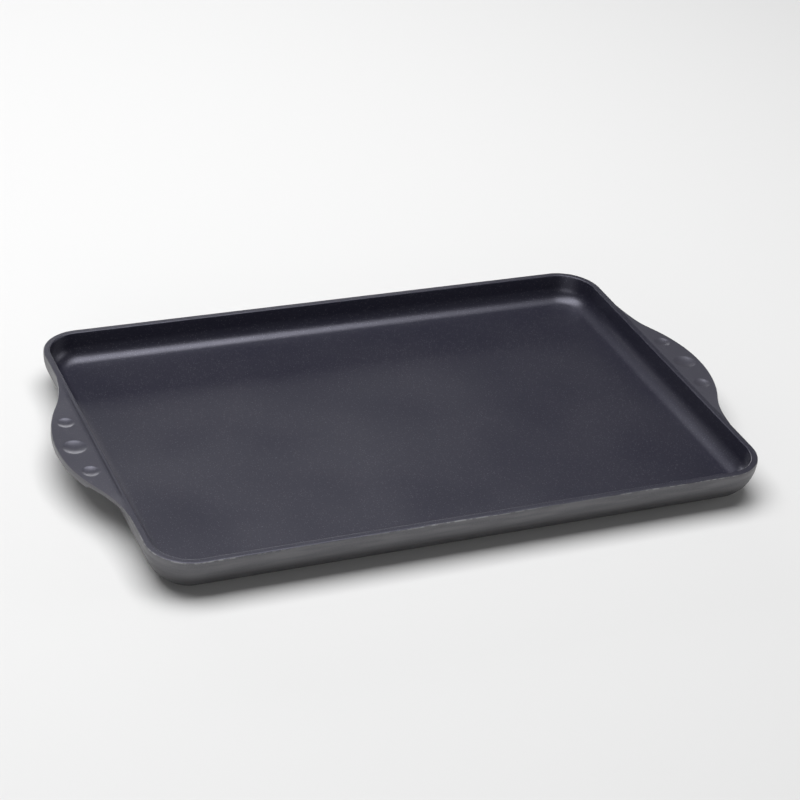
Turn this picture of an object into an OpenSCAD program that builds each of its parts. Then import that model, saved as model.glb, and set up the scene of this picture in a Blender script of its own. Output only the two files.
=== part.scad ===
// Stovetop griddle plate: one aluminium casting with two handles in the same pour,
// a nonstick coat over everything that faces up and a grey coat over the outside.
// Origin on the resting face at its centre, +X towards one handle, +Z up. Millimetres.

/* [Tray] */
// Length over the rim, without the handles
rim_length = 430; // [380:1:480]
// Width over the rim
rim_width = 286; // [240:1:320]
// Height of the rim above the resting face
rim_height = 28; // [25:1:34]
// Width of the rim's flat top, roundings included
rim_top = 4.6; // [4:0.1:6]
// Plan radius of the rim's corners, and of the curve that the outer wall follows
corner_radius = 29; // [28:0.5:32]
// Thickness of the cooking floor
floor_thickness = 9; // [7:0.5:10]
// Radius between the cooking floor and the wall
floor_fillet = 11; // [8:0.5:12]
// Lean of the inner wall, in degrees
wall_draft = 7; // [3:0.5:9]

/* [Handles] */
// How far each handle stands out from the rim
handle_reach = 23; // [22:1:25]
// Radius of the handle's outer edge
handle_nose_radius = 103; // [98:1:108]
// Radius of the hollow curve that runs the handle back into the rim
handle_flare_radius = 92; // [88:1:98]
// Thickness of the handle where it flares
handle_plate = 2.6; // [2.4:0.1:3.5]
// Thickness of the handle across the grip
grip_plate = 4.4; // [4:0.1:5.5]
// Length of the thick grip, along the side of the tray
grip_length = 84; // [60:1:88]
// Fall of the handle's top towards its outer edge, in degrees
handle_fall = 1; // [1:0.5:2]
// Drop from the top of the rim to the handle
handle_drop = 1.2; // [1.2:0.1:1.4]

/* [Thumb dimples] */
// Width of the middle dimple
middle_dimple = 16; // [12:0.5:18]
// Depth of the middle dimple
middle_dimple_depth = 1.1; // [0.8:0.1:1.8]
// Width of the two outer dimples
outer_dimple = 11.5; // [8:0.5:13]
// Depth of the two outer dimples
outer_dimple_depth = 0.9; // [0.7:0.1:1.5]
// Distance between the two outer dimples
dimple_spacing = 59; // [50:1:62]
// Distance of the outer dimples from the rim
dimple_inset = 8.7; // [8:0.1:10]
// Distance of the middle dimple from the rim
middle_dimple_inset = 11; // [10.5:0.1:12]

/* [Coats] */
// Thickness drawn for the nonstick coat and for the outer coat
coat = 0.5; // [0.4:0.05:0.6]

/* [Hidden] */
$fn = 96;

outer_edge_round = 1.5;
// The outer wall is an arc whose centre is this high, on the axis of each corner.
wall_arc_height = rim_height - 2;
// The wall's plumb stretch between that arc and the rim's outer rounding.
straight_rise = rim_height - wall_arc_height - outer_edge_round;
bare_edge_height = 0.2;
handle_root = 3;

half_length = rim_length / 2;
half_width = rim_width / 2;
straight_x = rim_length - 2 * corner_radius;
straight_y = rim_width - 2 * corner_radius;
rim_inner = corner_radius - rim_top;
// Height where the leaning inner wall meets the fillet, and the fillet's centre.
fillet_top = floor_thickness + floor_fillet * (1 - sin(wall_draft));
fillet_centre = [
  rim_inner - (rim_height - fillet_top) * tan(wall_draft) - floor_fillet * cos(wall_draft),
  floor_thickness + floor_fillet
];

nose_centre = half_length + handle_reach - handle_nose_radius;
flare_centre = half_length + handle_flare_radius;
flare_y = sqrt(pow(handle_nose_radius + handle_flare_radius, 2) - pow(flare_centre - nose_centre, 2));
// The point where the nose's arc passes into the flare's arc.
blend_share = handle_nose_radius / (handle_nose_radius + handle_flare_radius);
blend_x = nose_centre + (flare_centre - nose_centre) * blend_share;
blend_y = flare_y * blend_share;

// ---------- profile of the tray, drawn outwards from the axis of a corner ----------

// The part of a circle between two directions. Its point is pulled back past the centre, so
// that it overlaps the straight shapes that it rounds.
module wedge(radius, from, to) {
  middle = [cos((from + to) / 2), sin((from + to) / 2)];
  point = -0.7 * middle;
  first = radius * [cos(from), sin(from)];
  last = radius * [cos(to), sin(to)];
  intersection() {
    circle(r = radius);
    polygon([point, 2 * first - point, 3 * radius * middle, 2 * last - point]);
  }
}

// Everything inside the outer wall, shrunk by t.
module outer_profile(t) {
  intersection() {
    translate([0, wall_arc_height]) circle(r = corner_radius - t);
    square([2 * corner_radius, wall_arc_height]);
  }
  translate([0, wall_arc_height]) {
    square([corner_radius - t, straight_rise]);
    square([corner_radius - outer_edge_round, rim_height - wall_arc_height - t]);
  }
  translate([corner_radius - outer_edge_round, rim_height - outer_edge_round]) intersection() {
    circle(r = outer_edge_round - t);
    square(outer_edge_round);
  }
}

// The hollow of the tray, grown by t into the metal and open at the top.
module well_profile(t) {
  radius = floor_fillet + t;
  wall_head = rim_inner + t / cos(wall_draft);
  polygon([
    [0, floor_thickness - t],
    [fillet_centre[0], floor_thickness - t],
    fillet_centre,
    fillet_centre + radius * [cos(wall_draft), -sin(wall_draft)],
    [wall_head, rim_height],
    [wall_head, rim_height + 1],
    [0, rim_height + 1]
  ]);
  // The fillet's arc runs from straight down to square to the wall.
  translate(fillet_centre) wedge(radius, -90, -wall_draft);
}

// The outermost layer of the tray, as thick as a coat.
module skin_profile() {
  difference() {
    outer_profile(0);
    outer_profile(coat);
  }
}

module cast_profile() {
  difference() {
    outer_profile(coat);
    well_profile(coat);
  }
}

// The nonstick coat: over the floor, up the wall, over the rim to its outer rounding.
module nonstick_profile() {
  difference() {
    union() {
      intersection() {
        well_profile(coat);
        outer_profile(0);
      }
      intersection() {
        skin_profile();
        translate([0, rim_height - outer_edge_round]) square(2 * corner_radius);
      }
    }
    well_profile(0);
  }
}

// The outer coat: from the rim's outer rounding down to just above the resting face.
module exterior_profile() {
  intersection() {
    skin_profile();
    translate([0, bare_edge_height])
      square([2 * corner_radius, rim_height - outer_edge_round - bare_edge_height]);
  }
}

// ---------- sweep of a profile round the tray ----------

module corner() {
  rotate_extrude(angle = 90) children();
}

module side(length) {
  translate([0, length / 2, 0]) rotate([90, 0, 0]) linear_extrude(length) children();
}

// Carries a profile round the rounded rectangle, corner by corner and side by side.
module round_the_tray() {
  for (sx = [0, 1], sy = [0, 1])
    mirror([sx, 0, 0]) mirror([0, sy, 0])
      translate([straight_x / 2, straight_y / 2, 0]) corner() children();
  for (turn = [0, 180]) {
    rotate(turn) translate([straight_x / 2, 0, 0]) side(straight_y) children();
    rotate(turn + 90) translate([straight_y / 2, 0, 0]) side(straight_x) children();
  }
}

// ---------- handles, drawn on the +X side with their top at z = 0 ----------

// The part of the plan under the nose's arc: length is its extent along the tray's side.
module nose_plan(t, start, length) {
  intersection() {
    translate([nose_centre, 0]) circle(r = handle_nose_radius - t, $fn = 200);
    translate([start, -length / 2]) square([half_length + handle_reach - start, length]);
  }
}

// Plan of a handle, shrunk by t, from start outwards.
module handle_plan(t, start) {
  nose_plan(t, start, 2 * blend_y);
  difference() {
    translate([start, -flare_y]) square([blend_x - t - start, 2 * flare_y]);
    for (s = [-1, 1])
      translate([flare_centre, s * flare_y]) circle(r = handle_flare_radius + t, $fn = 200);
  }
}

module grip_plan(t, start) {
  nose_plan(t, start, grip_length - 2 * t);
}

// Puts a handle in its place, at the rim and falling outwards, on both sides of the tray.
module on_both_sides() {
  for (turn = [0, 180])
    rotate(turn)
      translate([half_length, 0, rim_height - handle_drop])
        rotate([0, handle_fall, 0])
          translate([-half_length, 0, 0]) children();
}

function cap_radius(width, depth) = (pow(width / 2, 2) + pow(depth, 2)) / (2 * depth);

// The balls that press the three thumb dimples into a handle, grown by t.
module dimple_balls(t) {
  outer_ball = cap_radius(outer_dimple, outer_dimple_depth);
  middle_ball = cap_radius(middle_dimple, middle_dimple_depth);
  for (s = [-1, 1])
    translate([half_length + dimple_inset, s * dimple_spacing / 2, outer_ball - outer_dimple_depth])
      sphere(r = outer_ball + t);
  translate([half_length + middle_dimple_inset, 0, middle_ball - middle_dimple_depth])
    sphere(r = middle_ball + t);
}

module slab(top, bottom) {
  translate([0, 0, bottom]) linear_extrude(top - bottom) children();
}

module handle_core() {
  difference() {
    union() {
      slab(-coat, -handle_plate + coat) handle_plan(coat, half_length - handle_root);
      slab(-coat, -grip_plate + coat) grip_plan(coat, half_length - handle_root);
    }
    dimple_balls(coat);
  }
}

// ---------- the three sub-parts ----------

// The casting: floor, wall, rim and both handles in one pour.
module cast_body() {
  color([0.72, 0.72, 0.73]) {
    round_the_tray() cast_profile();
    translate([-straight_x / 2, -straight_y / 2, 0])
      cube([straight_x, straight_y, floor_thickness - coat]);
    on_both_sides() handle_core();
  }
}

// The violet-grey nonstick coat on every face that looks up.
module nonstick_coating() {
  color([0.27, 0.27, 0.32]) {
    round_the_tray() nonstick_profile();
    translate([-straight_x / 2, -straight_y / 2, floor_thickness - coat])
      cube([straight_x, straight_y, coat]);
    on_both_sides() difference() {
      union() {
        slab(0, -coat) handle_plan(0, half_length - coat);
        intersection() {
          dimple_balls(coat);
          slab(-coat / 2, -grip_plate) grip_plan(coat, half_length);
        }
      }
      dimple_balls(0);
    }
  }
}

// The grey coat on the outer wall and on the edges and undersides of the handles.
module exterior_coating() {
  color([0.37, 0.37, 0.38]) difference() {
    union() {
      round_the_tray() exterior_profile();
      on_both_sides() {
        slab(-coat, -handle_plate) handle_plan(0, half_length - coat);
        slab(-coat, -grip_plate) grip_plan(0, half_length - coat);
      }
    }
    on_both_sides() {
      slab(0, -handle_plate + coat) handle_plan(coat, half_length - handle_root);
      slab(0, -grip_plate + coat) grip_plan(coat, half_length - handle_root);
    }
  }
}

cast_body();
nonstick_coating();
exterior_coating();
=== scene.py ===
"""Looks of the griddle plate: the casting and its two coats as smooth swept meshes.

Shapes are worked out in millimetres, as (out, up) pairs: out is the distance beyond the rim's
outer edge, negative towards the middle of the tray, and up is the height over the resting face.
"""
import math

import bmesh
import bpy
from mathutils import Matrix, Vector, noise


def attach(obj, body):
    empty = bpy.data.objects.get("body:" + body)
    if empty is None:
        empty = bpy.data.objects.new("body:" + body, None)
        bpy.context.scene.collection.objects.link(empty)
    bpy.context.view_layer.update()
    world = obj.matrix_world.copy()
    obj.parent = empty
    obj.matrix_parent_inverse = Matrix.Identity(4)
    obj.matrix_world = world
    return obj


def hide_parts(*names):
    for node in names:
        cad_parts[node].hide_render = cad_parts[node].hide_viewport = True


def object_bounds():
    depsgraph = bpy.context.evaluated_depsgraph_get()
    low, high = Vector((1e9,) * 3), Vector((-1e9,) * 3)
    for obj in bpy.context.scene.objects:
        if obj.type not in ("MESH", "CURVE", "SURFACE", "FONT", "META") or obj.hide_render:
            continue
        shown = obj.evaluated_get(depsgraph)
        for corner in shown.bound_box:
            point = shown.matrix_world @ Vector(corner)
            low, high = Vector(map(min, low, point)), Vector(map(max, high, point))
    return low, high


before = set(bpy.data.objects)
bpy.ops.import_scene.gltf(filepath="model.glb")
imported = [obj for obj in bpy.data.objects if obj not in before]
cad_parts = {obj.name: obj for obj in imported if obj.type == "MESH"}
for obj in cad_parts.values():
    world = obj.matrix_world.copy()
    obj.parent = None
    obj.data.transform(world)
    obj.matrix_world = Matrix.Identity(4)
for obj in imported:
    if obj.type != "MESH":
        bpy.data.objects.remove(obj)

MM = 0.001
cad_low, cad_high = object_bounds()

# ---------------------------------------------------------------- sizes, in millimetres

HANDLE_REACH = 23.0
HALF_LENGTH = cad_high.x / MM - HANDLE_REACH
HALF_WIDTH = cad_high.y / MM
RIM_HEIGHT = cad_high.z / MM
CORNER_RADIUS = 29.0
STRAIGHT_X = HALF_LENGTH - CORNER_RADIUS
STRAIGHT_Y = HALF_WIDTH - CORNER_RADIUS

# Tray
RIM_TOP = 4.6
INNER_EDGE_ROUND = 0.8
OUTER_EDGE_ROUND = 0.8
FLOOR_HEIGHT = 9.0
FLOOR_FILLET = 11.0
WALL_LEAN = math.radians(7.0)
WALL_ARC_HEIGHT = RIM_HEIGHT - 2.0
BARE_EDGE = 0.2
COAT = 0.3

# Handles
NOSE_RADIUS = 103.0
FLARE_RADIUS = 92.0
# The flare's last stretch along the side, too thin to draw
FLARE_TIP = 7.0
HANDLE_DROP = 0.9
HANDLE_SLOPE = 0.006
HANDLE_EDGE_ROUND = 0.6
FLANK = 0.9
RIDGE_END = -2.4
HANDLE_PLATE = 2.6
GRIP_PLATE = 4.4
UNDERSIDE_SLOPE = 0.02
GRIP_HALF_LENGTH = 42.0
GRIP_STEP = 1.0
ROOT_FILLET = 3.0
# The most of a handle's width that its root fillet takes, where the handle is narrow
ROOT_FILLET_SHARE = 0.4
UNDER_ROUND = 0.5
GRIP_UNDER_ROUND = 0.8
# A handle is this wide where it has taken on its own drop, edge and coat border in full
DROP_BLEND = 7.0
EDGE_BLEND = 5.0
BORDER_BLEND = 6.0

# Where the nonstick coat ends on the outer edge, in degrees: 90 is the edge's top, 0 its side
BORDER_MIDDLE = 48
BORDER_SLOW_SWAY = 34
BORDER_QUICK_SWAY = 12
BORDER_ON_HANDLE = 80
BORDER_HIGHEST = 84
# Sways of that line per millimetre of rim
SLOW_SWAYS = 0.03
QUICK_SWAYS = 0.15

# Thumb dimples: distance from the rim, distance along the side, radius, depth
DIMPLES = [
    (8.7, -29.5, 5.75, 1.0),
    (11.0, 0.0, 8.0, 1.2),
    (8.7, 29.5, 5.75, 1.0),
]
DIMPLE_LIP = 0.06

# The casting's bare edge and resting face, as (distance inside the wall's foot, height)
BARE_ROWS = [(0.1, 0.1), (0.3, 0.0), (1.5, 0.0), (5.0, 0.0)]

# Rows of points on the flat floor, this far inside the fillet
FLOOR_MARGINS = [4.0, 1.2]

# Steps along each stretch of a profile
FILLET_STEPS = 16
LEAN_STEPS = 5
INNER_EDGE_STEPS = 5
RIM_TOP_STEPS = 3
WALL_STEPS = 18
ROUND_STEPS = 8
FLANK_STEPS = 7
TOP_STEPS = 38
EDGE_STEPS = 6
UNDER_STEPS = 12
ROOT_STEPS = 5

# Stations round the rim: steps in a corner, the step on a plain side, and on a side with a
# handle the step up to each distance from its middle
CORNER_STEPS = 32
PLAIN_SIDE_STEP = 1.6
HANDLE_SIDE_STEPS = [(GRIP_HALF_LENGTH + 2, 0.6), (100.0, 1.5), (STRAIGHT_Y, 3.0)]
# The casting is all but hidden, so its stations are further apart
CASTING_COARSENESS = 2.5

# Points closer than this are one point
MERGE_DISTANCE = 0.002
SHARP_ANGLE = math.radians(35)


# ---------------------------------------------------------------- small tools

def between(first, last, share):
    return tuple(a + (b - a) * share for a, b in zip(first, last))


def line(first, last, steps):
    """Points on a straight line after its first point, the last point included."""
    return [between(first, last, i / steps) for i in range(1, steps + 1)]


def arc(centre, radius, start, end, steps):
    """Points on an arc in the (out, up) plane, both ends included, angles in degrees."""
    points = []
    for i in range(steps + 1):
        angle = math.radians(start + (end - start) * i / steps)
        points.append((centre[0] + radius * math.cos(angle), centre[1] + radius * math.sin(angle)))
    return points


def quarter(start, end, level_first, steps):
    """Points on a quarter of an ellipse after its start, the end included.

    level_first says that it leaves its start level and arrives plumb; otherwise the reverse.
    """
    points = []
    for i in range(1, steps + 1):
        angle = math.pi / 2 * i / steps
        quick, slow = math.sin(angle), 1 - math.cos(angle)
        out_share, up_share = (quick, slow) if level_first else (slow, quick)
        points.append((
            start[0] + (end[0] - start[0]) * out_share,
            start[1] + (end[1] - start[1]) * up_share,
        ))
    return points


def smooth(x):
    """0 up to 0 and 1 from 1 on, with a smooth rise between."""
    x = min(1.0, max(0.0, x))
    return x * x * (3 - 2 * x)


# ---------------------------------------------------------------- the way round the rim

def handle_width(along):
    """How far a handle stands out from the rim at a distance along the side from its middle."""
    along = abs(along)
    nose_centre = HANDLE_REACH - NOSE_RADIUS
    both = NOSE_RADIUS + FLARE_RADIUS
    flare_along = math.sqrt(both ** 2 - (FLARE_RADIUS - nose_centre) ** 2)
    if along <= flare_along * NOSE_RADIUS / both:
        return nose_centre + math.sqrt(NOSE_RADIUS ** 2 - along ** 2)
    if along >= flare_along - FLARE_TIP:
        return 0.0
    return FLARE_RADIUS - math.sqrt(FLARE_RADIUS ** 2 - (flare_along - along) ** 2)


class Station:
    """A place on the rim's outer edge: its point, its outward normal and the handle there."""

    def __init__(self, x, y, normal_x, normal_y, along=None):
        self.x = x
        self.y = y
        self.normal_x = normal_x
        self.normal_y = normal_y
        self.along = along
        self.width = 0.0 if along is None else handle_width(along)

    def at(self, out, up):
        """The point at (out, up) here, in metres."""
        return Vector((
            (self.x + self.normal_x * out) * MM,
            (self.y + self.normal_y * out) * MM,
            up * MM,
        ))


def handle_side_marks(coarse):
    """Distances along a side with a handle, close together where the handle has its detail."""
    marks = [0.0]
    while marks[-1] < STRAIGHT_Y:
        step = next(step for limit, step in HANDLE_SIDE_STEPS if marks[-1] < limit)
        marks.append(marks[-1] + step * coarse)
    marks.pop()
    return [-m for m in reversed(marks[1:])] + marks


def plain_side_marks(coarse):
    steps = int(STRAIGHT_X / (PLAIN_SIDE_STEP * coarse))
    return [STRAIGHT_X * (i / steps) for i in range(1 - steps, steps)]


def ring_of_stations(coarse=1.0):
    """Stations anticlockwise round the rim, starting on the +X side."""
    ring = []
    corner_steps = int(CORNER_STEPS / coarse)
    for turn, (cos, sin) in enumerate([(1, 0), (0, 1), (-1, 0), (0, -1)]):
        has_handle = turn % 2 == 0
        away = HALF_LENGTH if has_handle else HALF_WIDTH
        half = STRAIGHT_Y if has_handle else STRAIGHT_X
        marks = handle_side_marks(coarse) if has_handle else plain_side_marks(coarse)
        for m in marks:
            along = m if has_handle else None
            ring.append(Station(cos * away - sin * m, sin * away + cos * m, cos, sin, along))
        inner = away - CORNER_RADIUS
        centre_x, centre_y = cos * inner - sin * half, sin * inner + cos * half
        for i in range(corner_steps + 1):
            angle = math.pi / 2 * (turn + i / corner_steps)
            nx, ny = math.cos(angle), math.sin(angle)
            ring.append(Station(centre_x + CORNER_RADIUS * nx, centre_y + CORNER_RADIUS * ny, nx, ny))
    return ring


# ---------------------------------------------------------------- profiles

def tray_profile():
    """From the floor, up the fillet and the wall, round the rim's inner edge to its flat top."""
    lean = math.degrees(WALL_LEAN)
    fillet_top = FLOOR_HEIGHT + FLOOR_FILLET * (1 - math.sin(WALL_LEAN))
    foot = -RIM_TOP - (RIM_HEIGHT - fillet_top) * math.tan(WALL_LEAN)
    centre = (foot - FLOOR_FILLET * math.cos(WALL_LEAN), FLOOR_HEIGHT + FLOOR_FILLET)
    edge_wall = -RIM_TOP - INNER_EDGE_ROUND * math.tan(WALL_LEAN)
    edge_centre = (edge_wall + INNER_EDGE_ROUND / math.cos(WALL_LEAN), RIM_HEIGHT - INNER_EDGE_ROUND)
    edge = arc(edge_centre, INNER_EDGE_ROUND, 180 - lean, 90, INNER_EDGE_STEPS)
    points = [(centre[0] - margin, FLOOR_HEIGHT) for margin in FLOOR_MARGINS]
    points += arc(centre, FLOOR_FILLET, -90, -lean, FILLET_STEPS)
    points += line(points[-1], edge[0], LEAN_STEPS)
    return points + edge[1:] + line(edge[-1], (RIDGE_END, RIM_HEIGHT), RIM_TOP_STEPS)


def wall_out(up):
    """Where the outer wall is at a height: plumb at the top, then an arc that turns under."""
    below = max(0.0, WALL_ARC_HEIGHT - up)
    return math.sqrt(CORNER_RADIUS ** 2 - below ** 2) - CORNER_RADIUS


def grip_share(station):
    """1 across the thick grip, 0 beyond its ends."""
    return 1 - smooth((abs(station.along) - GRIP_HALF_LENGTH + GRIP_STEP) / GRIP_STEP)


def handle_drop(station):
    """How far a handle's top lies under the rim. It rises to the rim where the handle ends."""
    return HANDLE_DROP * smooth(station.width / DROP_BLEND)


def handle_top(station, out):
    return RIM_HEIGHT - handle_drop(station) - HANDLE_SLOPE * max(0.0, out)


def handle_underside(station, out):
    plate = HANDLE_PLATE + (GRIP_PLATE - HANDLE_PLATE) * grip_share(station)
    return RIM_HEIGHT - handle_drop(station) - plate - UNDERSIDE_SLOPE * out


def dimple_depth(station, out):
    """Depth of the thumb dimples at a place on a handle.

    inside is 1 at a dimple's middle and 0 at its lip. The lip is soft, and fades out at -0.5.
    """
    depth = 0.0
    if station.width == 0:
        return depth
    for away, along, radius, deep in DIMPLES:
        inside = 1 - ((out - away) ** 2 + (station.along - along) ** 2) / radius ** 2
        if inside > -0.5:
            rounded = 0.5 * (inside + math.sqrt(inside ** 2 + DIMPLE_LIP ** 2))
            depth += deep * rounded * smooth(1 + 2 * inside)
    return depth


def edge_round(station):
    """Radius of the outer edge's rounding: the rim's own, and tighter on a handle."""
    on_handle = smooth(station.width / EDGE_BLEND)
    return OUTER_EDGE_ROUND + (HANDLE_EDGE_ROUND - OUTER_EDGE_ROUND) * on_handle


def under_round(station):
    """Size of the rounding between a handle's side and its underside."""
    wanted = UNDER_ROUND + (GRIP_UNDER_ROUND - UNDER_ROUND) * grip_share(station)
    return min(wanted, station.width / 2)


def edge_arc(station, start, end, steps):
    """Points round the outer edge, from one angle to another: 90 is its top, 0 its side."""
    radius = edge_round(station)
    out = station.width - radius
    return arc((out, handle_top(station, out) - radius), radius, start, end, steps)


def border_angle(station):
    """Where the nonstick coat ends on the outer edge, as an angle of edge_arc().

    The masked line wanders on the tray and keeps to the top on a handle.
    """
    slow = noise.noise(Vector((station.x * SLOW_SWAYS, station.y * SLOW_SWAYS, 3.1)))
    quick = noise.noise(Vector((station.x * QUICK_SWAYS, station.y * QUICK_SWAYS, 8.7)))
    wandering = BORDER_MIDDLE + BORDER_SLOW_SWAY * slow + BORDER_QUICK_SWAY * quick
    on_handle = smooth(station.width / BORDER_BLEND)
    return min(BORDER_HIGHEST, wandering + (BORDER_ON_HANDLE - wandering) * on_handle)


def rim_profile(station):
    """From the ridge's flat top down its flank and over a handle to the nonstick coat's end."""
    points = []
    for i in range(1, FLANK_STEPS + 1):
        share = i / FLANK_STEPS
        points.append((RIDGE_END + FLANK * share, RIM_HEIGHT - handle_drop(station) * smooth(share)))
    start = points[-1][0]
    end = max(start, station.width - edge_round(station))
    for i in range(1, TOP_STEPS + 1):
        out = start + (end - start) * i / TOP_STEPS
        points.append((out, handle_top(station, out) - dimple_depth(station, out)))
    return points + edge_arc(station, 90, border_angle(station), ROUND_STEPS)[1:]


def handle_edge_profile(station):
    """From a handle's outer edge down its side, along its underside and into its root."""
    width = station.width
    lower = under_round(station)
    toe = (width - lower, handle_underside(station, width - lower))
    fillet = min(ROOT_FILLET, ROOT_FILLET_SHARE * width)
    under_end = (fillet, handle_underside(station, fillet))
    root_up = under_end[1] - fillet
    heel = (width, toe[1] + lower)
    points = [heel] + quarter(heel, toe, False, EDGE_STEPS)
    points += line(toe, under_end, UNDER_STEPS)
    return points + quarter(under_end, (wall_out(root_up), root_up), True, ROOT_STEPS)


def plain_edge_profile():
    """The same stretch where there is no handle: the top of the outer wall.

    The last point is repeated, so that every profile has the same number of points.
    """
    top = RIM_HEIGHT - OUTER_EDGE_ROUND
    root_up = RIM_HEIGHT - HANDLE_DROP - HANDLE_PLATE
    points = []
    for i in range(1, EDGE_STEPS + 2):
        up = top + (root_up - top) * i / (EDGE_STEPS + 1)
        points.append((wall_out(up), up))
    return points + [points[-1]] * (UNDER_STEPS + ROOT_STEPS)


def outside_profile(station):
    """From the nonstick coat's end down to the bare edge at the foot of the wall."""
    points = edge_arc(station, border_angle(station), 0, EDGE_STEPS)
    points += handle_edge_profile(station) if station.width > 0 else plain_edge_profile()
    first = math.asin((WALL_ARC_HEIGHT - points[-1][1]) / CORNER_RADIUS)
    last = math.asin((WALL_ARC_HEIGHT - BARE_EDGE) / CORNER_RADIUS)
    for i in range(1, WALL_STEPS + 1):
        angle = first + (last - first) * i / WALL_STEPS
        points.append((
            CORNER_RADIUS * (math.cos(angle) - 1),
            WALL_ARC_HEIGHT - CORNER_RADIUS * math.sin(angle),
        ))
    return points


def sunk(points, depth):
    """A profile moved into the metal, square to itself.

    A point whose neighbours coincide has no direction, and goes where the one before it went.
    """
    moved = []
    for i, point in enumerate(points):
        before, after = points[max(0, i - 1)], points[min(len(points) - 1, i + 1)]
        run, rise = after[0] - before[0], after[1] - before[1]
        length = math.hypot(run, rise)
        if length < 1e-6:
            moved.append(moved[-1] if moved else point)
            continue
        moved.append((point[0] + rise / length * depth, point[1] - run / length * depth))
    return moved


# ---------------------------------------------------------------- meshes

def fill(mesh, loop, upwards):
    """Closes a flat loop of vertices with triangles that look up or down."""
    edges = [mesh.edges.get(pair) for pair in zip(loop, loop[1:] + loop[:1])]
    made = bmesh.ops.triangle_fill(mesh, use_beauty=True, edges=edges)["geom"]
    for face in made:
        if isinstance(face, bmesh.types.BMFace):
            face.normal_update()
            if (face.normal.z > 0) != upwards:
                face.normal_flip()


def sweep(ring, profile_of, floor=False, base=False):
    """A mesh swept round the rim. Points that coincide are merged, so that a stretch which a
    station doesn't have closes up."""
    mesh = bmesh.new()
    out_layer = mesh.verts.layers.float.new("out")
    rows = []
    for station in ring:
        rows.append([])
        for out, up in profile_of(station):
            corner = mesh.verts.new(station.at(out, up))
            corner[out_layer] = out
            rows[-1].append(corner)
    for here, there in zip(rows, rows[1:] + rows[:1]):
        for j in range(len(here) - 1):
            mesh.faces.new((here[j], here[j + 1], there[j + 1], there[j]))
    if floor:
        fill(mesh, [row[0] for row in rows], True)
    if base:
        fill(mesh, [row[-1] for row in rows], False)
    bmesh.ops.remove_doubles(mesh, verts=mesh.verts, dist=MERGE_DISTANCE * MM)
    return mesh


def smooth_shaded(data):
    data.shade_smooth()
    data.set_sharp_from_angle(angle=SHARP_ANGLE)


def new_piece(name, mesh, material, node):
    data = bpy.data.meshes.new(name)
    mesh.to_mesh(data)
    mesh.free()
    smooth_shaded(data)
    data.materials.append(material)
    piece = bpy.data.objects.new(name, data)
    bpy.context.scene.collection.objects.link(piece)
    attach(piece, "root")
    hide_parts(node)
    return piece


def thicken(piece):
    """Gives a coat its thickness, inwards from the surface that shows."""
    modifier = piece.modifiers.new("thickness", "SOLIDIFY")
    modifier.thickness = COAT * MM
    modifier.offset = -1
    bpy.context.view_layer.update()
    shell = piece.evaluated_get(bpy.context.evaluated_depsgraph_get())
    thick = bpy.data.meshes.new_from_object(shell)
    piece.modifiers.clear()
    piece.data = thick
    smooth_shaded(thick)


def nonstick_mesh():
    inside = tray_profile()
    return sweep(ring_of_stations(), lambda station: inside + rim_profile(station), floor=True)


def exterior_mesh():
    return sweep(ring_of_stations(), outside_profile)


def casting_mesh():
    """The whole casting just under its coats, closed by the flat resting face."""
    inside = tray_profile()
    foot = wall_out(0)
    bare = [(foot - inside_foot, up) for inside_foot, up in BARE_ROWS]

    def profile(station):
        coated = inside + rim_profile(station) + outside_profile(station)[1:]
        return sunk(coated, COAT) + bare

    return sweep(ring_of_stations(CASTING_COARSENESS), profile, floor=True, base=True)


# ---------------------------------------------------------------- materials

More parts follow.
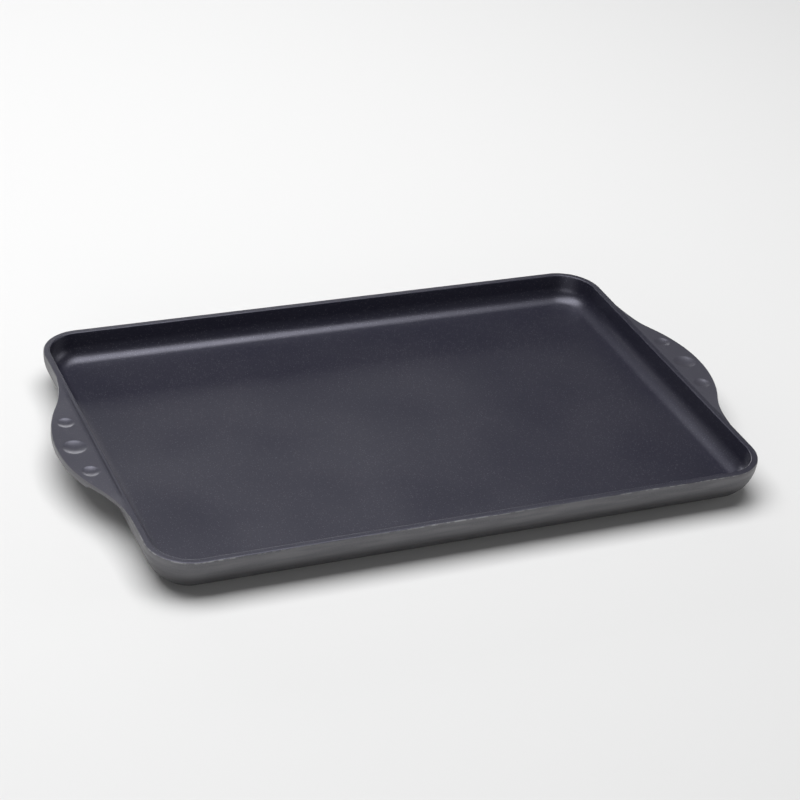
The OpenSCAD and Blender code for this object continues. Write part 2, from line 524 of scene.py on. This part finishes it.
class Surface:
    """A material in the making: its node tree, its shader, and short ways to add nodes.

    Patterns are laid out in the object's own space and sized in millimetres.
    """

    def __init__(self, name, **fixed):
        self.material = bpy.data.materials.new(name)
        self.material.use_nodes = True
        self.tree = self.material.node_tree
        self.shader = self.tree.nodes["Principled BSDF"]
        self.place = self.tree.nodes.new("ShaderNodeTexCoord").outputs["Object"]
        for socket, value in fixed.items():
            self.shader.inputs[socket.replace("_", " ")].default_value = value

    def node(self, kind, inputs, **settings):
        """A node with its settings, and each input linked or given its value."""
        node = self.tree.nodes.new("ShaderNode" + kind)
        for name, value in settings.items():
            setattr(node, name, value)
        for socket, value in inputs.items():
            if isinstance(value, bpy.types.NodeSocket):
                self.tree.links.new(value, node.inputs[socket])
            else:
                node.inputs[socket].default_value = value
        return node

    def grain(self, size, detail=2.0, stretch=(1, 1, 1), seed=0.0):
        """Soft random variation from about 0.2 to 0.8, with features of a size."""
        scale = Vector(stretch) / (size * MM)
        placed = self.node("Mapping", {"Vector": self.place, "Scale": scale, "Location": (seed,) * 3})
        inputs = {"Vector": placed.outputs[0], "Scale": 1.0, "Detail": detail}
        return self.node("TexNoise", inputs).outputs[0]

    def rings(self, size):
        """Distance from the nearest of many scattered points, for flecks."""
        scale = 1 / (size * MM)
        return self.node("TexVoronoi", {"Vector": self.place, "Scale": scale}).outputs["Distance"]

    def levels(self, value, low, high, to_low=0.0, to_high=1.0):
        """A value's rise from low to high, smoothed and carried over to another range."""
        inputs = {0: value, 1: low, 2: high, 3: to_low, 4: to_high}
        return self.node("MapRange", inputs, interpolation_type="SMOOTHSTEP").outputs[0]

    def maths(self, operation, first, second):
        return self.node("Math", {0: first, 1: second}, operation=operation).outputs[0]

    def tint(self, share, first, second):
        """A colour between two, each given as a colour or as a socket."""
        colours = [c if isinstance(c, bpy.types.NodeSocket) else (*c, 1) for c in (first, second)]
        inputs = {0: share, 6: colours[0], 7: colours[1]}
        return self.node("Mix", inputs, data_type="RGBA").outputs[2]

    def beyond(self, out, soft):
        """1 further out than a distance from the rim's edge, fading to 0 over a soft margin."""
        value = self.node("Attribute", {}, attribute_name="out").outputs["Fac"]
        return self.levels(value, out - soft, out)

    def past(self, axis, where, soft):
        """1 past a place along an axis, fading to 0 over a soft margin before it."""
        value = self.node("SeparateXYZ", {"Vector": self.place}).outputs[axis]
        return self.levels(value, (where - soft) * MM, where * MM)

    def bump(self, height, rise, under=None):
        """Relief of a height in millimetres, on top of another relief."""
        inputs = {"Height": height, "Distance": rise * MM, "Strength": 1.0}
        if under is not None:
            inputs["Normal"] = under
        return self.node("Bump", inputs).outputs[0]

    def finish(self, colour, roughness, normal):
        """The finished material."""
        for socket, value in (("Base Color", colour), ("Roughness", roughness), ("Normal", normal)):
            self.tree.links.new(value, self.shader.inputs[socket])
        return self.material


def nonstick_material():
    """Sprayed nonstick: violet-black and satin, finely flecked, with a slight orange peel.

    It is lighter on the rim and more so on the handles, partly from a thinner coat and partly as painted
    highlight; the +X handle is lighter still, and that extra is painted light.
    """
    s = Surface("nonstick", Specular_IOR_Level=0.86, Specular_Tint=(0.84, 0.835, 1.0, 1))
    clouds = s.grain(70, detail=3, seed=2.0)
    speckle = s.grain(0.9, detail=1, seed=5.0)
    flecks = s.levels(s.rings(1.5), 0.24, 0.1)
    peel = s.grain(2.4, detail=2, seed=9.0)
    # Lighter colour for the rim and the handles: a thinner coat, and painted highlight.
    thin_coat_and_painted_highlight = (0.07, 0.069, 0.084)
    rim_thin_coat_and_painted_highlight = s.beyond(-3.0, 0.8)
    handles_thin_coat_and_painted_highlight = s.beyond(0.3, 0.5)
    # 0.22 on both handles for the thinner coat; the +X handle's rise to 0.5 is painted light.
    handle_coat_share_and_painted_light = s.levels(s.past("X", HALF_LENGTH, 5), 0.0, 1.0, 0.22, 0.5)
    colour = s.tint(s.levels(clouds, 0.35, 0.65), (0.0078, 0.0075, 0.0158), (0.0098, 0.0095, 0.0193))
    colour = s.tint(s.levels(speckle, 0.4, 0.7, 0.0, 0.5), colour, (0.024, 0.024, 0.035))
    colour = s.tint(s.maths("MULTIPLY", flecks, 0.8), colour, (0.11, 0.11, 0.13))
    colour = s.tint(s.maths("MULTIPLY", rim_thin_coat_and_painted_highlight, 0.17), colour, thin_coat_and_painted_highlight)
    colour = s.tint(s.maths("MULTIPLY", handles_thin_coat_and_painted_highlight, handle_coat_share_and_painted_light), colour, thin_coat_and_painted_highlight)
    roughness = s.levels(s.maths("ADD", clouds, s.maths("MULTIPLY", speckle, 0.5)), 0.5, 1.0, 0.41, 0.33)
    normal = s.bump(peel, 0.02)
    normal = s.bump(speckle, 0.032, normal)
    return s.finish(colour, roughness, normal)


def grey_coat_material():
    """Satin grey paint over as-cast metal: faint level streaks, fine sand texture, rubbed edges
    lightened with painted highlight, and painted shade darker towards the wall's foot.
    """
    s = Surface("grey_coat", Specular_IOR_Level=0.5, Specular_Tint=(0.95, 0.94, 1.0, 1))
    streaks = s.grain(22, detail=3, stretch=(0.6, 0.6, 6), seed=1.0)
    sand = s.grain(0.8, detail=2, seed=3.0)
    dents = s.grain(6, detail=2, stretch=(0.5, 0.5, 2), seed=6.0)
    chips = s.levels(s.grain(4, seed=7.0), 0.42, 0.58)
    chipped_stretches = s.levels(s.grain(110, detail=1, seed=11.0), 0.4, 0.6)
    # Rubbed wear along the top edge, lightened into a painted highlight of the edge's rounding.
    rubbed_wear_and_painted_highlight = s.maths("MULTIPLY", s.past("Z", 27.3, 0.2), s.maths("MULTIPLY", chips, chipped_stretches))
    colour = s.tint(s.levels(streaks, 0.35, 0.68), (0.098, 0.097, 0.104), (0.132, 0.131, 0.138))
    colour = s.tint(s.levels(sand, 0.4, 0.7, 0.0, 0.3), colour, (0.15, 0.15, 0.157))
    colour = s.tint(s.maths("MULTIPLY", rubbed_wear_and_painted_highlight, 0.6), colour, (0.3, 0.3, 0.31))
    # Painted shade: the wall darkens towards its foot, where shade falls near the floor.
    colour = s.tint(s.past("Z", 26.0, 16.0), (0.04, 0.04, 0.042), colour)
    roughness = s.levels(s.maths("ADD", streaks, s.maths("MULTIPLY", sand, 0.4)), 0.45, 0.95, 0.5, 0.38)
    normal = s.bump(dents, 0.03)
    normal = s.bump(sand, 0.02, normal)
    return s.finish(colour, roughness, normal)


def bare_metal_material():
    """Ground aluminium: fine straight grinding marks, a few deeper ones, and dull patches."""
    s = Surface("bare_metal", Metallic=1.0)
    marks = s.grain(0.35, detail=2, stretch=(0.02, 1, 1), seed=1.0)
    scores = s.grain(0.9, detail=2, stretch=(0.02, 1, 1), seed=4.0)
    dull = s.grain(35, detail=4, seed=8.0)
    colour = s.tint(s.levels(marks, 0.35, 0.65), (0.5, 0.5, 0.51), (0.62, 0.62, 0.625))
    colour = s.tint(s.levels(dull, 0.45, 0.7, 0.0, 0.5), colour, (0.42, 0.41, 0.4))
    roughness = s.levels(s.maths("ADD", dull, s.maths("MULTIPLY", marks, 0.5)), 0.45, 1.0, 0.28, 0.46)
    normal = s.bump(marks, 0.006)
    normal = s.bump(s.levels(scores, 0.58, 0.72), 0.006, normal)
    return s.finish(colour, roughness, normal)


nonstick = nonstick_material()
grey_coat = grey_coat_material()
bare_metal = bare_metal_material()

# ---------------------------------------------------------------- the three pieces

casting = new_piece("casting", casting_mesh(), bare_metal, "cast_body")
inner_coat = new_piece("inner_coat", nonstick_mesh(), nonstick, "nonstick_coating")
outer_coat = new_piece("outer_coat", exterior_mesh(), grey_coat, "exterior_coating")
thicken(inner_coat)
thicken(outer_coat)

# ---------------------------------------------------------------- floor, light and camera

STAGE_HALF_WIDTH = 6.0
WORLD_STRENGTH = 0.06
# Name, place, aim, width and height, and power of each light
LIGHTS = [
    ("overhead_softbox", (-0.35, 0.35, 2.0), (-0.35, 0.35, 0), (2.4, 1.6), 64),
    ("back_panel", (0.0, 2.2, 0.35), (0, 0, 0), (2.4, 0.7), 16.2),
    ("front_left_panel", (-1.2, -1.7, 0.35), (0, 0, 0), (1.8, 0.7), 11),
    ("right_fill", (2.3, -0.5, 0.5), (0, 0, 0), (1.4, 0.8), 7),
]

CAMERA_AZIMUTH = math.radians(-26.143)
CAMERA_ELEVATION = math.radians(31.355)
CAMERA_ROLL = math.radians(6.381)
CAMERA_DISTANCE = 1.5633
CAMERA_TARGET = Vector((0.02263, 0.04148, 0.0))
CAMERA_LENS = 99.51
CAMERA_SENSOR = 36


def stage_floor():
    mesh = bmesh.new()
    bmesh.ops.create_grid(mesh, x_segments=1, y_segments=1, size=STAGE_HALF_WIDTH)
    data = bpy.data.meshes.new("stage_floor")
    mesh.to_mesh(data)
    mesh.free()
    floor = bpy.data.objects.new("stage_floor", data)
    floor.location.z = cad_low.z
    bpy.context.scene.collection.objects.link(floor)
    pale = (0.71, 0.71, 0.71, 1)
    paper = Surface("stage_paper", Base_Color=pale, Roughness=0.9, Specular_IOR_Level=0.1)
    data.materials.append(paper.material)


def area_light(name, place, aim, size, power):
    data = bpy.data.lights.new(name, "AREA")
    data.shape = "RECTANGLE"
    data.size, data.size_y = size
    data.energy = power
    light = bpy.data.objects.new(name, data)
    light.location = place
    light.rotation_euler = (Vector(aim) - Vector(place)).to_track_quat("-Z", "Y").to_euler()
    bpy.context.scene.collection.objects.link(light)


def studio_world(strength):
    world = bpy.data.worlds.new("studio")
    world.use_nodes = True
    background = world.node_tree.nodes["Background"]
    background.inputs["Color"].default_value = (1, 1, 1, 1)
    background.inputs["Strength"].default_value = strength
    bpy.context.scene.world = world


def photo_camera():
    azimuth, elevation, roll = CAMERA_AZIMUTH, CAMERA_ELEVATION, CAMERA_ROLL
    back = Vector((
        math.sin(azimuth) * math.cos(elevation),
        -math.cos(azimuth) * math.cos(elevation),
        math.sin(elevation),
    ))
    level = Vector((math.cos(azimuth), math.sin(azimuth), 0))
    upright = back.cross(level)
    right = level * math.cos(roll) + upright * math.sin(roll)
    up = upright * math.cos(roll) - level * math.sin(roll)
    data = bpy.data.cameras.new("photo_camera")
    data.lens = CAMERA_LENS
    data.sensor_width = CAMERA_SENSOR
    camera = bpy.data.objects.new("photo_camera", data)
    turn = Matrix((right, up, back)).transposed().to_4x4()
    camera.matrix_world = Matrix.Translation(CAMERA_TARGET + back * CAMERA_DISTANCE) @ turn
    bpy.context.scene.collection.objects.link(camera)
    bpy.context.scene.camera = camera


stage_floor()
studio_world(WORLD_STRENGTH)
for light_settings in LIGHTS:
    area_light(*light_settings)
photo_camera()
bpy.context.scene.view_settings.view_transform = "Standard"
